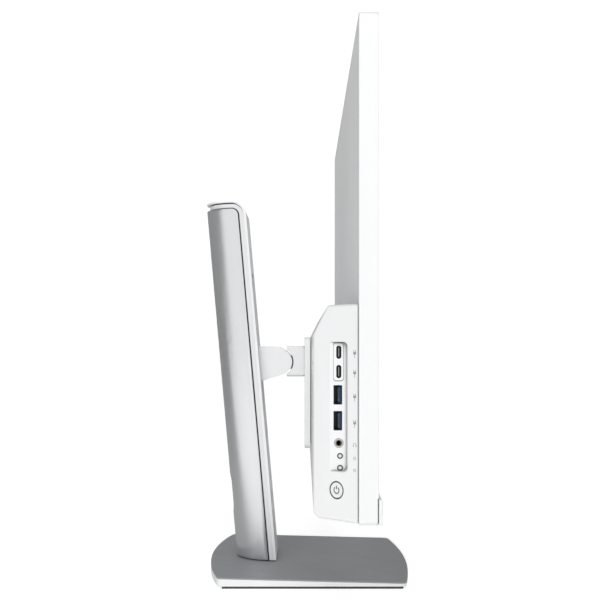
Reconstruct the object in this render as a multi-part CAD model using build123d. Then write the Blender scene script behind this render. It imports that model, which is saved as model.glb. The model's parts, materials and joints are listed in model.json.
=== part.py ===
"""All-in-one desktop computer on a height, tilt and swivel stand.

Frame: +Z up, the screen faces -Y, +X runs along the screen's width. The origin is at the
middle of the footprint, on the desk. Millimetres throughout.
"""

from build123d import *
import math
import os

# ---- Screen head ----
HEAD_HALF_WIDTH = 270.0
HEAD_BOTTOM = 83.9
HEAD_TOP = 429.4
BEZEL_FRONT = -48.5
FRAME_FRONT = -47.8
FRAME_REAR = -35.15
FRAME_WALL = 1.6
CHIN_TOP = 116.4
CHIN_REAR = -46.6
SPEAKER_TOP = 101.3
SPEAKER_FRONT = -51.0
SPEAKER_GAP = 0.8
ACTIVE_HALF_WIDTH = 263.5
ACTIVE_BOTTOM = 123.4
ACTIVE_TOP = 419.9
PANEL_FRONT = -47.7
PANEL_REAR = -41.7
CHASSIS_REAR = -40.7
SHEET = 0.8

# ---- Webcam and its privacy shutter ----
CAMERA_Z = 424.6
SHUTTER_TRAVEL = 9.0
SHUTTER_HALF_LENGTH = 4.0
SHUTTER_HALF_HEIGHT = 1.2

# ---- Computer module on the back of the head ----
MODULE_FRONT_HALF_WIDTH = 265.0
MODULE_BACK_HALF_WIDTH = 238.0
MODULE_BACK = -4.8
MODULE_TOP = 233.1
MODULE_SLOPE_START_Y = -15.0
MODULE_SLOPE_END_Z = 212.5
MODULE_WALL = 2.0
MODULE_ROUNDING = 2.5
END_CAP_X = -236.0
PORT_STRIP_X = (-200.0, -30.0)
PORT_STRIP_REAR = -14.0
MOULDING_GAP = 0.05

# ---- Side port recess, on the -X end of the module ----
RECESS_FLOOR_X = -248.0
RECESS_FRONT_Y = -28.05
RECESS_BOTTOM = 118.0
RECESS_TOP = 207.4
RECESS_CORNER = 3.0
PORT_Y = -22.3
USB_C_HEIGHTS = (200.2, 186.8)
USB_C_SIZE = (8.9, 3.2)
USB_A_Y = -21.65
USB_A_HEIGHTS = (170.7, 152.8)
USB_A_SIZE = (13.1, 5.7)
JACK_HEIGHT = 137.3
JACK_RING_RADIUS = 3.2
JACK_BORE_RADIUS = 1.8
INDICATOR_Y = -23.2
INDICATOR_HEIGHTS = (128.4, 120.2)
INDICATOR_RADIUS = 1.95
SIDE_BOARD_REAR = -24.5

# ---- Power button on the slanted end face ----
BUTTON_Y = -20.6
BUTTON_Z = 105.3
BUTTON_RADIUS = 5.3
BUTTON_RING_RADIUS = 6.25

# ---- Ports in the module's underside: centre X, opening width and depth ----
ETHERNET_X = -150.0
ETHERNET_SIZE = (16.0, 13.5)
LOWER_USB_X = (-120.0, -98.0)
VIDEO_PORTS = ((-70.0, 16.6, 5.4), (-42.0, 15.0, 5.6))
DC_INLET_X = -178.0
LOWER_PORT_Y = -25.0
LOWER_PORT_TOP = 99.0

# ---- Main board and what is on it ----
BOARD_FRONT = -34.4
BOARD_REAR = -32.8
BOARD_X = (-205.0, 57.0)
BOARD_Z = (88.0, 215.0)
CPU_X = -15.0
CPU_Z = 164.0
BLOWER_X = 185.0
BLOWER_Z = 160.0
BLOWER_RADIUS = 33.0
BLOWER_FRONT = -30.0
BLOWER_REAR = -14.0

# ---- Quick-release plate and tilt pivot ----
PLATE_HALF_WIDTH = 52.0
PLATE_BOTTOM = 113.4
PLATE_TOP = 212.3
PLATE_REAR = 1.3
PLATE_STEP = 1.0
PLATE_SCREW_X = 46.0
PLATE_SCREW_Z = (124.0, 202.0)
LATCH_HALF_WIDTH = 15.95
HOUSING_SCREWS = ((218.0, 110.0), (64.0, 206.0))
BLOCK_HALF_WIDTH = 14.0
BLOCK_END = 17.8
BLOCK_BOTTOM = 176.1
BLOCK_TOP = 204.3
TILT_Y = 25.05
TILT_Z = 189.5
PIN_RADIUS = 3.5
KNUCKLE_RADIUS = 8.5
KNUCKLE_HALF_WIDTH = 7.0
ARM_END_RADIUS = 12.3
ARM_GAP = 1.3
ARM_HALF_WIDTH = 16.0
ARM_WALL = 1.8
ARM_BOTTOM = 171.0
ARM_TOP = 204.4

# ---- Column, leaning back about the X axis ----
LEAN = 5.0
COLUMN_Y = 45.65
COLUMN_Z = 7.9
COLUMN_HALF_WIDTH = 29.0
COVER_FRONT = -18.73
BAND_FRONT = -16.4
SEAM_FRONT = -12.6
SHELL_FRONT = -11.3
SHELL_DEPTH = 30.0
LIP_DEPTH = 29.58
SHELL_WALL = 1.8
COVER_TOP = 336.5
COVER_UNDERSIDE = 334.9
BAND_TOP = 333.7
BAND_UNDERSIDE = 330.3
SHELL_TOP = 329.5
LIFT_DOWN = 50.0
LIFT_UP = 65.0
CABLE_HALF_WIDTH = 9.0
CABLE_BOTTOM = 50.0
CABLE_TOP = 86.0
CARRIAGE_HALF_WIDTH = 16.9
CARRIAGE_FRONT = -10.5
CARRIAGE_REAR = 1.2
RAIL_INNER = 18.5
RAIL_OUTER = 20.0
STRUT_X = 13.5
STRUT_B = 7.4
STRUT_RADIUS = 4.0
STRUT_TOP = 150.0
ROD_RADIUS = 1.5

# ---- Base ----
BASE_HALF_WIDTH = 98.4
BASE_FRONT = -92.75
BASE_FRONT_CORNER = -84.2
BASE_REAR = 87.5
BASE_REAR_CORNER = 74.6
BASE_CORNER_RADIUS = 5.0
BASE_MIDDLE_Y = 1.75
BASE_MIDDLE_TOP = 7.5
BASE_SLOPE = 0.025
COVER_SHEET = 1.2
FOOT_HEIGHT = 2.0
SWIVEL_GAP = 1.0
SPINDLE_RADIUS = 6.0
FLANGE_RADIUS = 9.0
FOOT_TOP = 14.0
DISC_RADIUS = 11.5
BASE_SCREW_PLACES = ((78.0, -40.0), (78.0, 55.0))

MIDDLE_LOW = (Align.CENTER, Align.CENTER, Align.MIN)
INWARD = (
    MODULE_BACK - FRAME_REAR,
    MODULE_BACK_HALF_WIDTH - MODULE_FRONT_HALF_WIDTH,
    0.0,
)


# ---- Shape helpers ----
def slab(x, y, z):
    """A block between the given limits along X, Y and Z."""
    middle = [(low + high) / 2 for low, high in (x, y, z)]
    size = [high - low for low, high in (x, y, z)]
    return Pos(*middle) * Box(*size)


def panel(x, y, z, radius):
    """A flat panel facing Y, with its four corners rounded."""
    outline = Pos((x[0] + x[1]) / 2, (z[0] + z[1]) / 2) * RectangleRounded(
        x[1] - x[0], z[1] - z[0], radius
    )
    return extrude(Plane.XZ.offset(-y[1]) * outline, y[1] - y[0])


def rod(start, direction, radius, length):
    """A round bar from a start point along a direction."""
    return Plane(origin=start, z_dir=direction) * Cylinder(radius, length, align=MIDDLE_LOW)


def tube(start, direction, outer, inner, length):
    """A round tube from a start point along a direction."""
    return rod(start, direction, outer, length) - rod(start, direction, inner, length)


def across(points, half_width):
    """A Y-Z outline carried across the width, evenly about the middle."""
    outline = Polygon(*points, align=None)
    return extrude(Plane.YZ.offset(-half_width) * outline, 2 * half_width, dir=(1, 0, 0))


def pair(shape):
    """A shape and its twin on the other side of the middle plane."""
    return [shape, mirror(shape, about=Plane.YZ)]


def joined(shapes):
    """Several shapes fused into one."""
    whole = shapes[0]
    for shape in shapes[1:]:
        whole = whole + shape
    return whole


def write(name, *shapes):
    """One node: a solid, or a group of separate solids."""
    solids = [solid for shape in shapes for solid in shape.solids()]
    content = solids[0] if len(solids) == 1 else Compound(children=solids)
    export_step(content, f"parts/{name}.step")


# ---- Screen head ----
def screen_frame():
    """Side band round the display, with the chin that closes it below the picture."""
    ring = panel(
        (-HEAD_HALF_WIDTH, HEAD_HALF_WIDTH),
        (BEZEL_FRONT, FRAME_REAR),
        (HEAD_BOTTOM, HEAD_TOP),
        3.0,
    )
    inner = HEAD_HALF_WIDTH - FRAME_WALL
    ring -= panel(
        (-inner, inner),
        (BEZEL_FRONT - 1, FRAME_REAR + 1),
        (HEAD_BOTTOM + FRAME_WALL, HEAD_TOP - FRAME_WALL),
        1.4,
    )
    chin_bottom = SPEAKER_TOP + 0.6
    ring -= slab((-280, 280), (BEZEL_FRONT - 1, FRAME_FRONT), (HEAD_BOTTOM - 1, chin_bottom))
    chin = slab((-inner, inner), (BEZEL_FRONT, CHIN_REAR), (chin_bottom, CHIN_TOP))
    return ring + chin


def front_bezel():
    """Black border round the picture, slotted for the webcam's shutter."""
    rim = FRAME_WALL + 0.1
    border = panel(
        (rim - HEAD_HALF_WIDTH, HEAD_HALF_WIDTH - rim),
        (BEZEL_FRONT, FRAME_FRONT),
        (CHIN_TOP + 0.1, HEAD_TOP - rim),
        1.3,
    )
    border -= slab(
        (-ACTIVE_HALF_WIDTH, ACTIVE_HALF_WIDTH),
        (BEZEL_FRONT - 1, FRAME_FRONT + 1),
        (ACTIVE_BOTTOM, ACTIVE_TOP),
    )
    border -= slab(
        (-SHUTTER_HALF_LENGTH - 0.2, SHUTTER_HALF_LENGTH + SHUTTER_TRAVEL + 0.2),
        (BEZEL_FRONT - 1, FRAME_FRONT + 1),
        (CAMERA_Z - SHUTTER_HALF_HEIGHT - 0.1, CAMERA_Z + SHUTTER_HALF_HEIGHT + 0.1),
    )
    return border


def lcd_panel():
    """Liquid-crystal panel with its backlight."""
    return slab((-265.5, 265.5), (PANEL_FRONT, PANEL_REAR), (119.5, 422.5))


def speaker_bar():
    """Bar under the picture, proud of the frame, with a chamber behind it."""
    face = slab(
        (-HEAD_HALF_WIDTH, HEAD_HALF_WIDTH),
        (SPEAKER_FRONT, FRAME_FRONT - SPEAKER_GAP),
        (HEAD_BOTTOM, SPEAKER_TOP),
    )
    front_edges = face.faces().sort_by(Axis.Y)[0].edges()
    face = fillet(front_edges, 0.8)
    chamber = slab((-266, 266), (FRAME_FRONT - SPEAKER_GAP, -46.0), (86.2, 100.9))
    chamber -= slab((-260, 260), (-48.0, -45.0), (87.6, 99.5))
    return face + chamber


def speaker_drivers():
    """Two long loudspeakers behind the bar, each with a racetrack cone."""
    box = slab((150, 240), (-45.9, -38.0), (87.4, 99.7))
    cone = Plane.XZ.offset(46.9) * SlotOverall(60, 8)
    box += Pos(195, 0, 93.5) * extrude(cone, -1.0)
    return pair(box)


def webcam_module():
    """Camera board along the top border, with its lens barrel."""
    board = slab((-30, 30), (-46.2, -45.2), (422.9, 427.4))
    barrel = rod((0, -46.2, CAMERA_Z), (0, -1, 0), 1.6, 0.9)
    return board + barrel


def camera_shutter():
    """Slider that covers the lens, with a flange that holds it behind the border."""
    middle = SHUTTER_TRAVEL
    nub = slab(
        (middle - SHUTTER_HALF_LENGTH, middle + SHUTTER_HALF_LENGTH),
        (BEZEL_FRONT + 0.1, FRAME_FRONT + 0.05),
        (CAMERA_Z - SHUTTER_HALF_HEIGHT, CAMERA_Z + SHUTTER_HALF_HEIGHT),
    )
    flange = slab(
        (middle - SHUTTER_HALF_LENGTH - 0.4, middle + SHUTTER_HALF_LENGTH + 0.4),
        (FRAME_FRONT + 0.05, FRAME_FRONT + 0.45),
        (CAMERA_Z - 1.75, CAMERA_Z + 1.75),
    )
    return nub + flange


def chassis_frame():
    """Steel sheet behind the panel, with a stiffening rim and board standoffs."""
    sheet = panel((-262, 262), (CHASSIS_REAR - SHEET, CHASSIS_REAR), (105, 420), 4.0)
    rim = panel((-262, 262), (CHASSIS_REAR, CHASSIS_REAR + 2.5), (105, 420), 4.0)
    rim -= panel((-261, 261), (CHASSIS_REAR - 1, CHASSIS_REAR + 4), (106, 419), 3.0)
    posts = [
        rod((x, CHASSIS_REAR, z), (0, 1, 0), 3.0, BOARD_FRONT - CHASSIS_REAR)
        for x in (-195, -105, 25)
        for z in (110, 208)
    ]
    return joined([sheet, rim, *posts])


def rear_cover():
    """Flat back of the head, open where the computer module sits."""
    edge = HEAD_HALF_WIDTH - FRAME_WALL - 0.1
    cover = panel(
        (-edge, edge),
        (FRAME_REAR - 1.6, FRAME_REAR),
        (HEAD_BOTTOM + FRAME_WALL + 0.1, HEAD_TOP - FRAME_WALL - 0.1),
        1.3,
    )
    return cover - slab((-236, 236), (FRAME_REAR - 3, FRAME_REAR + 1), (87.5, 228))


def display_cable():
    """Flat cable from the panel's lower edge round the chassis to the main board."""
    drop = slab((-60, -40), (-44.4, -44.0), (98, 119))
    under = slab((-60, -40), (-44.4, -36.0), (98, 98.4))
    rise = slab((-60, -40), (-36.4, -36.0), (98, 112))
    plug = slab((-61, -39), (-36.0, BOARD_FRONT), (106, 112))
    return joined([drop, under, rise, plug])


# ---- Computer module ----
def module_block():
    """Outer form: slanted ends, flat back, and a sloped top rear edge."""
    plan = Polygon(
        (-MODULE_FRONT_HALF_WIDTH, FRAME_REAR),
        (MODULE_FRONT_HALF_WIDTH, FRAME_REAR),
        (MODULE_BACK_HALF_WIDTH, MODULE_BACK),
        (-MODULE_BACK_HALF_WIDTH, MODULE_BACK),
        align=None,
    )
    ends = extrude(Plane.XY.offset(HEAD_BOTTOM) * plan, MODULE_TOP - HEAD_BOTTOM)
    side = across(
        [
            (FRAME_REAR, HEAD_BOTTOM),
            (MODULE_BACK - 4, HEAD_BOTTOM),
            (MODULE_BACK, HEAD_BOTTOM + 4),
            (MODULE_BACK, MODULE_SLOPE_END_Z),
            (MODULE_SLOPE_START_Y, MODULE_TOP),
            (FRAME_REAR, MODULE_TOP),
        ],
        MODULE_FRONT_HALF_WIDTH,
    )
    block = ends & side
    front = block.faces().sort_by(Axis.Y)[0]
    held = [edge.center() for edge in front.edges()]
    free = [
        edge
        for edge in block.edges()
        if min((edge.center() - middle).length for middle in held) > 0.01
    ]
    return fillet(free, MODULE_ROUNDING)


def on_end_face(y, z):
    """A point on the module's slanted -X end face."""
    slope = (MODULE_FRONT_HALF_WIDTH - MODULE_BACK_HALF_WIDTH) / (MODULE_BACK - FRAME_REAR)
    return (-MODULE_FRONT_HALF_WIDTH + (y - FRAME_REAR) * slope, y, z)


def port_plane(y, z):
    """Plane on the recess floor, facing out, with its X axis upright."""
    return Plane(origin=(RECESS_FLOOR_X, y, z), x_dir=(0, 0, 1), z_dir=(-1, 0, 0))


def recess(grow):
    """Space of the port recess, or the block that carries its walls."""
    back_x = RECESS_FLOOR_X + grow
    space = slab(
        (-MODULE_FRONT_HALF_WIDTH - 5, back_x),
        (RECESS_FRONT_Y - grow, -8),
        (RECESS_BOTTOM - grow, RECESS_TOP + grow),
    )
    inner_edges = space.edges().filter_by(Axis.X).group_by(Axis.Y)[0]
    return fillet(inner_edges, RECESS_CORNER)


def port_cutouts():
    """Holes in the recess floor for the sockets and indicators."""
    depth = -2 * MODULE_WALL
    cuts = []
    for z in USB_C_HEIGHTS:
        cuts.append(extrude(port_plane(PORT_Y, z) * SlotOverall(9.2, 3.5), depth))
    for z in USB_A_HEIGHTS:
        cuts.append(extrude(port_plane(USB_A_Y, z) * RectangleRounded(13.4, 6.0, 0.5), depth))
    cuts.append(extrude(port_plane(PORT_Y, JACK_HEIGHT) * Circle(JACK_RING_RADIUS + 0.1), depth))
    for z in INDICATOR_HEIGHTS:
        cuts.append(extrude(port_plane(INDICATOR_Y, z) * Circle(INDICATOR_RADIUS + 0.1), depth))
    return cuts


def usb_c_surround():
    """Low raised border that frames the two small sockets."""
    middle = sum(USB_C_HEIGHTS) / 2
    plane = port_plane(PORT_Y + 0.2, middle)
    border = extrude(plane * RectangleRounded(26.5, 6.8, 1.5), 0.3)
    for z in USB_C_HEIGHTS:
        border -= extrude(port_plane(PORT_Y, z) * SlotOverall(9.2, 3.5), 1.0)
    return border


def lower_port_cutouts():
    """Holes in the module's underside for the ports that face down."""
    z = (HEAD_BOTTOM - 1, HEAD_BOTTOM + 2 * MODULE_WALL)
    sizes = [(ETHERNET_X, *ETHERNET_SIZE)]
    sizes += [(x, USB_A_SIZE[0], USB_A_SIZE[1]) for x in LOWER_USB_X]
    sizes += list(VIDEO_PORTS)
    cuts = []
    for x, width, depth in sizes:
        half, low = width / 2 + 0.2, LOWER_PORT_Y - depth / 2 - 0.2
        cuts.append(slab((x - half, x + half), (low, low + depth + 0.4), z))
    cuts.append(rod((DC_INLET_X, LOWER_PORT_Y, z[0]), (0, 0, 1), 4.2, z[1] - z[0]))
    return cuts


def vent_slots():
    """Air slots: a row in the top, and two fields in the back."""
    slots = []
    for step in range(18):
        x = 142 + 5 * step
        slots.append(slab((x, x + 2.4), (-31, -18), (MODULE_TOP - 3, MODULE_TOP + 1)))
    for side in (-1, 1):
        for step in range(13):
            z = 130 + 5 * step
            low, high = sorted((side * 152, side * 216))
            slots.append(slab((low, high), (MODULE_BACK - 3, MODULE_BACK + 1), (z, z + 2.2)))
    return slots


def lock_slot():
    """Security lock slot in the back of the module."""
    return slab((-232, -225), (MODULE_BACK - 3, MODULE_BACK + 1), (108, 111))


def screw_holes(places, radius, start, length):
    """Round holes along Y at mirrored X-Z places."""
    holes = []
    for x, z in places:
        holes += pair(rod((x, start, z), (0, 1, 0), radius, length))
    return holes


def plate_screw_places():
    """X-Z places of the four screws that hold the quick-release plate."""
    return [(PLATE_SCREW_X, z) for z in PLATE_SCREW_Z]


def seam_groove():
    """Shallow groove where the housing meets the screen frame."""
    depth, width = 1.0, 0.6
    half = MODULE_FRONT_HALF_WIDTH - depth
    groove = slab((-280, 280), (FRAME_REAR - 1, FRAME_REAR + width), (0, 300))
    return groove - slab(
        (-half, half),
        (FRAME_REAR - 2, FRAME_REAR + 2),
        (HEAD_BOTTOM + depth, MODULE_TOP - depth),
    )


def module_shell():
    """The module's whole wall, before it is divided into its three mouldings."""
    block = module_block()
    front = block.faces().sort_by(Axis.Y)[0]
    shell = offset(block, -MODULE_WALL, openings=front, kind=Kind.INTERSECTION)
    shell += recess(MODULE_WALL) & block
    shell -= recess(0)
    shell += usb_c_surround()
    cuts = port_cutouts() + lower_port_cutouts() + vent_slots() + [lock_slot(), seam_groove()]
    cuts += screw_holes(HOUSING_SCREWS, 3.3, MODULE_BACK - 2.0, 4)
    cuts += screw_holes(plate_screw_places(), 2.4, MODULE_BACK - 4, 8)
    cuts.append(rod(on_end_face(BUTTON_Y, BUTTON_Z), INWARD, BUTTON_RING_RADIUS + 0.05, 4))
    for cut in cuts:
        shell -= cut
    return shell


def end_cap_space(gap):
    """Everything beyond the seam of the module's -X end cap."""
    return slab((-300, END_CAP_X - gap), (-60, 20), (50, 260))


def port_strip_space(gap):
    """Room of the strip that holds the ports in the module's underside."""
    return slab(
        (PORT_STRIP_X[0] + gap, PORT_STRIP_X[1] - gap),
        (-60, PORT_STRIP_REAR - gap),
        (HEAD_BOTTOM - 1, HEAD_BOTTOM + MODULE_WALL + 0.5),
    )


def module_housing():
    """White shell over the electronics, with its vents and screw bosses."""
    shell = module_shell() - end_cap_space(0) - port_strip_space(0)
    for boss in screw_holes(HOUSING_SCREWS, 4.0, FRAME_REAR, 29.0):
        shell += boss
    for hole in screw_holes(HOUSING_SCREWS, 1.7, FRAME_REAR - 1, 40):
        shell -= hole
    for hole in screw_holes(HOUSING_SCREWS, 3.3, MODULE_BACK - 2.0, 4):
        shell -= hole
    return shell


def module_end_cap():
    """Slanted end of the module, with the port recess and the power button's hole."""
    return module_shell() & end_cap_space(MOULDING_GAP)


def module_port_strip():
    """Plate in the module's underside that surrounds the ports there."""
    return module_shell() & port_strip_space(MOULDING_GAP)


def head_screws():
    """Screws that hold the module housing and the quick-release plate."""
    screws = []
    for x, z in HOUSING_SCREWS:
        screw = rod((x, MODULE_BACK - 2.0, z), (0, 1, 0), 3.0, 1.8)
        screw -= slab((x - 1.8, x + 1.8), (MODULE_BACK - 1, MODULE_BACK), (z - 0.4, z + 0.4))
        screw += rod((x, CHASSIS_REAR + 0.2, z), (0, 1, 0), 1.5, MODULE_BACK - 2 - CHASSIS_REAR)
        screws += pair(screw)
    for x, z in plate_screw_places():
        screw = rod((x, PLATE_REAR - 2.4, z), (0, 1, 0), 3.6, 2.2)
        screw -= slab((x - 2.2, x + 2.2), (PLATE_REAR - 1.2, PLATE_REAR), (z - 0.5, z + 0.5))
        screw += rod((x, -20, z), (0, 1, 0), 1.6, 18)
        screws += pair(screw)
    return screws


# ---- Side ports and power button ----
def usb_shells():
    """Metal shells of the two oval and two flat sockets in the recess."""
    shells = []
    for z in USB_C_HEIGHTS:
        plane = port_plane(PORT_Y, z)
        shell = extrude(plane * SlotOverall(*USB_C_SIZE), -10.5)
        shells.append(shell - extrude(plane * SlotOverall(8.3, 2.6), -9.8))
    for z in USB_A_HEIGHTS:
        plane = port_plane(USB_A_Y, z)
        shell = extrude(plane * RectangleRounded(*USB_A_SIZE, 0.4), -14.0)
        shells.append(shell - extrude(plane * Rectangle(12.4, 5.0), -13.3))
    return shells


def usb_c_tongues():
    """Centre tongues of the oval sockets."""
    tongues = []
    for z in USB_C_HEIGHTS:
        plane = port_plane(PORT_Y, z).offset(-1.2)
        tongues.append(extrude(plane * Rectangle(6.7, 0.7), -8.6))
    return tongues


def usb_a_tongues():
    """Blue tongues of the flat sockets, near one wall of each shell."""
    tongues = []
    for z in USB_A_HEIGHTS:
        plane = port_plane(USB_A_Y - 1.2, z).offset(-1.0)
        tongues.append(extrude(plane * Rectangle(11.0, 1.9), -12.3))
    return tongues


def audio_jack():
    """Round headset socket with its body behind the recess floor."""
    nose = extrude(port_plane(PORT_Y, JACK_HEIGHT) * Circle(JACK_RING_RADIUS), -2.2)
    body = slab(
        (RECESS_FLOOR_X + 2.2, RECESS_FLOOR_X + 14),
        (SIDE_BOARD_REAR, -19.4),
        (JACK_HEIGHT - 3.5, JACK_HEIGHT + 3.5),
    )
    bore = extrude(port_plane(PORT_Y, JACK_HEIGHT) * Circle(JACK_BORE_RADIUS), -14.0)
    return nose + body - bore


def indicator_lenses():
    """Two short light pipes under the headset socket."""
    return [
        extrude(port_plane(INDICATOR_Y, z) * Circle(INDICATOR_RADIUS), -8.0)
        for z in INDICATOR_HEIGHTS
    ]


def side_port_board():
    """Small board that carries the side sockets, and the power switch on its own tab."""
    board = slab((-239, -208), (SIDE_BOARD_REAR - 1.6, SIDE_BOARD_REAR), (115, 212))
    plane = Plane(origin=on_end_face(BUTTON_Y, BUTTON_Z), z_dir=INWARD)
    switch = plane.offset(6.9) * Box(6, 6, 3.2, align=MIDDLE_LOW)
    tab = plane.offset(10.1) * Box(9, 12, 1.0, align=MIDDLE_LOW)
    return [board, switch + tab]


def power_button():
    """Round button with the stem that works the switch."""
    start = on_end_face(BUTTON_Y, BUTTON_Z)
    cap = rod(start, INWARD, BUTTON_RADIUS, 3.0)
    return cap + rod(start, INWARD, 2.0, 6.0)


def power_button_ring():
    """Dark ring that guides the power button."""
    return tube(
        on_end_face(BUTTON_Y, BUTTON_Z), INWARD, BUTTON_RING_RADIUS, BUTTON_RADIUS + 0.07, 2.6
    )


# ---- Main board, cooling and storage ----
def mainboard():
    """Main circuit board, drilled for the mount pillars and the housing boss."""
    board = slab(BOARD_X, (BOARD_FRONT, BOARD_REAR), BOARD_Z)
    for x, z in plate_screw_places():
        for side in (-1, 1):
            board -= rod((side * x, BOARD_FRONT - 1, z), (0, 1, 0), 5.6, 5)
    x, z = HOUSING_SCREWS[1]
    return board - rod((-x, BOARD_FRONT - 1, z), (0, 1, 0), 4.6, 5)


def on_board(x, z, width, height, thickness):
    """A component on the board's rear face, given by its middle and size."""
    return slab(
        (x - width / 2, x + width / 2),
        (BOARD_REAR, BOARD_REAR + thickness),
        (z - height / 2, z + height / 2),
    )


def board_components():
    """Processor, voltage regulators, chips, capacitors, cell holder and sockets."""
    pieces = [on_board(CPU_X, CPU_Z, 38, 38, 2.4)]
    pieces += [on_board(CPU_X - 32, 142 + 11 * step, 7, 7, 4) for step in range(5)]
    pieces += [on_board(CPU_X - 26 + 10 * step, 134, 7, 7, 4) for step in range(5)]
    pieces += [on_board(-66, 168, 24, 24, 2.0), on_board(-196, 150, 12, 12, 1.6)]
    for step in range(6):
        start = (-180 + 14 * step, BOARD_REAR, 208)
        pieces.append(rod(start, (0, 1, 0), 3.2, 7))
    pieces.append(on_board(-85, 125, 24, 24, 5.0))
    pieces += [on_board(-141, z, 74, 6, 4.0) for z in (144, 182)]
    pieces.append(on_board(-189, 118, 10, 24, 4.0))
    return pieces


def plug_in_cards():
    """Two memory modules, a solid-state drive stick and the wireless card."""
    cards = []
    for low in (147.1, 185.1):
        card = slab((-176, -106), (-30.6, -29.6), (low - 0.1, low + 12))
        chips = [
            slab((x, x + 12), (-29.6, -28.6), (low + 1, low + 10.5)) for x in range(-173, -114, 15)
        ]
        cards.append(joined([card, *chips]))
    stick = slab((-182, -102), (-29.6, -28.8), (108, 130))
    chips = [slab((x, x + 16), (-28.8, -27.6), (111, 127)) for x in (-176, -154, -132)]
    wireless = slab((0, 30), (-30.2, -29.4), (106, 128))
    shield = slab((4, 24), (-29.4, -28.0), (109, 125))
    return [*cards, joined([stick, *chips]), wireless + shield]


def cooler_base():
    """Cold plate on the processor and the two flattened heat pipes to the fins."""
    plate = slab((CPU_X - 24, CPU_X + 24), (-30.4, -27.4), (CPU_Z - 24, CPU_Z + 24))
    pipes = []
    for x, z in ((CPU_X - 9, 214.5), (CPU_X + 9, 222.5)):
        rise = slab((x - 3.5, x + 3.5), (-27.4, -24.0), (CPU_Z - 20, z))
        run = slab((x - 3.5, 226), (-27.4, -24.0), (z - 3.5, z + 3.5))
        pipes += [rise, run]
    return joined([plate, *pipes])


def fin_stack():
    """Thin fins above the blower, on a spine that the heat pipes are soldered to."""
    spine = slab((144, 228), (-23.9, -23.1), (208, 226))
    fins = [
        slab((144.2 + 3.2 * step, 144.6 + 3.2 * step), (-23.1, -16.5), (208, 226))
        for step in range(27)
    ]
    return joined([spine, *fins])


def blower_housing():
    """Scroll of the cooling blower, open towards the fins and at its inlet."""
    outer = rod((BLOWER_X, BLOWER_FRONT, BLOWER_Z), (0, 1, 0), BLOWER_RADIUS + 4, 16)
    outlet = slab(
        (BLOWER_X - 37, BLOWER_X + 37), (BLOWER_FRONT, BLOWER_REAR), (BLOWER_Z, BLOWER_Z + 47)
    )
    inner = rod((BLOWER_X, BLOWER_FRONT + 1.2, BLOWER_Z), (0, 1, 0), BLOWER_RADIUS + 2.8, 13.6)
    mouth = slab(
        (BLOWER_X - 35.8, BLOWER_X + 35.8),
        (BLOWER_FRONT + 1.2, BLOWER_REAR - 1.2),
        (BLOWER_Z, BLOWER_Z + 48),
    )
    scroll = outer + outlet - inner - mouth
    scroll -= rod((BLOWER_X, BLOWER_REAR - 3, BLOWER_Z), (0, 1, 0), 22.0, 6)
    hub = rod((BLOWER_X, BLOWER_FRONT + 1.2, BLOWER_Z), (0, 1, 0), 1.5, 8.0)
    return scroll + hub


def blower_impeller():
    """Impeller of the blower: hub, back plate and curved-row blades."""
    base = BLOWER_FRONT + 2.0
    wheel = rod((BLOWER_X, base, BLOWER_Z), (0, 1, 0), 28.0, 1.0)
    wheel += rod((BLOWER_X, base, BLOWER_Z), (0, 1, 0), 13.0, 9.0)
    blades = 24
    centre = Pos(BLOWER_X, 0, BLOWER_Z)
    for step in range(blades):
        blade = slab((20.0, 30.0), (base, base + 9.5), (-0.5, 0.5))
        lean = Pos(20, 0, 0) * Rot(0, 25, 0) * Pos(-20, 0, 0)
        wheel += centre * Rot(0, 360 * step / blades, 0) * lean * blade
    return wheel - rod((BLOWER_X, base - 1, BLOWER_Z), (0, 1, 0), 1.55, 8.5)


def storage_drive():
    """Flat storage drive in its tray beside the main board."""
    return slab((71, 141), (-33.0, -26.0), (106, 204))


def mount_bracket():
    """Steel bracket behind the module's back, on four pillars from the chassis."""
    plate = panel((-55, 55), (MODULE_BACK - 3.8, MODULE_BACK - 2.2), (116, 208), 4.0)
    for x, z in plate_screw_places():
        start = CHASSIS_REAR
        for pillar in pair(rod((x, start, z), (0, 1, 0), 5.0, MODULE_BACK - 3.8 - start)):
            plate += pillar
    for hole in screw_holes(plate_screw_places(), 1.65, -21, 20):
        plate -= hole
    return plate


# ---- Ports facing down ----
def ethernet_jack():
    """Network socket, open downwards."""
    width, depth = ETHERNET_SIZE
    x, y = ETHERNET_X, LOWER_PORT_Y
    half, deep = width / 2, depth / 2
    body = slab((x - half, x + half), (y - deep, y + deep), (HEAD_BOTTOM, LOWER_PORT_TOP + 5))
    mouth = slab((x - 6, x + 6), (y - 3.6, y + 4.4), (HEAD_BOTTOM - 1, HEAD_BOTTOM + 13))
    key = slab((x - 3, x + 3), (y - 5.2, y), (HEAD_BOTTOM - 1, HEAD_BOTTOM + 13))
    return body - mouth - key


def lower_shells():
    """Metal shells of the video and flat sockets in the underside."""
    shells = []
    sizes = [(x, USB_A_SIZE[0], USB_A_SIZE[1]) for x in LOWER_USB_X] + list(VIDEO_PORTS)
    for x, width, depth in sizes:
        half, deep = width / 2, depth / 2
        shell = slab(
            (x - half, x + half),
            (LOWER_PORT_Y - deep, LOWER_PORT_Y + deep),
            (HEAD_BOTTOM, LOWER_PORT_TOP),
        )
        shell -= slab(
            (x - half + 0.35, x + half - 0.35),
            (LOWER_PORT_Y - deep + 0.35, LOWER_PORT_Y + deep - 0.35),
            (HEAD_BOTTOM - 1, LOWER_PORT_TOP - 0.7),
        )
        tongue = slab(
            (x - half + 1.5, x + half - 1.5),
            (LOWER_PORT_Y - 1.0, LOWER_PORT_Y + 0.6),
            (HEAD_BOTTOM + 1.2, LOWER_PORT_TOP - 0.7),
        )
        shells.append(shell + tongue)
    return shells


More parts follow.
